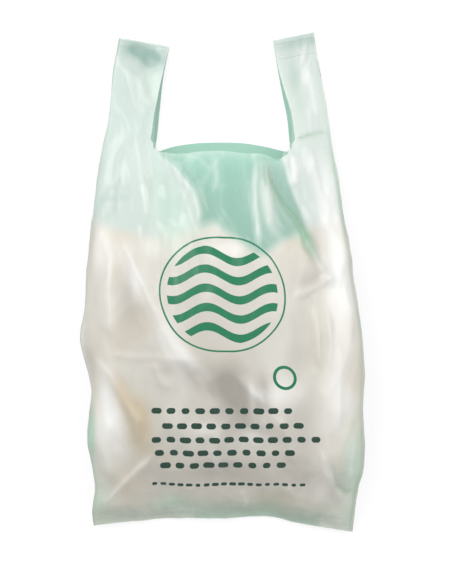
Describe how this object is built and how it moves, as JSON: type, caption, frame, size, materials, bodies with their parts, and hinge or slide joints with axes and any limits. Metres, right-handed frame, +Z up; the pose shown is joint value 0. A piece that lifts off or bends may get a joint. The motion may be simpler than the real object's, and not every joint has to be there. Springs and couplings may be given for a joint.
{
  "type": "carrier bag",
  "caption": "Vest-style carrier bag of thin pale green film with side gussets, a welded bottom and two handle loops, lying on its back with its body puffed out",
  "frame": {"origin": "middle of the box of the bag as it lies on its back, on the table it rests on", "axes": "+X to the right across the front panel, +Y from the bottom weld to the handle tops, +Z up, out of the front panel"},
  "size_m": [0.3264, 0.5886, 0.0955],
  "materials": {
    "film": "smooth, softly glossy, see-through film"
  },
  "bodies": {
    "root": {"carrier_bag": "film"}
  },
  "joints": []
}
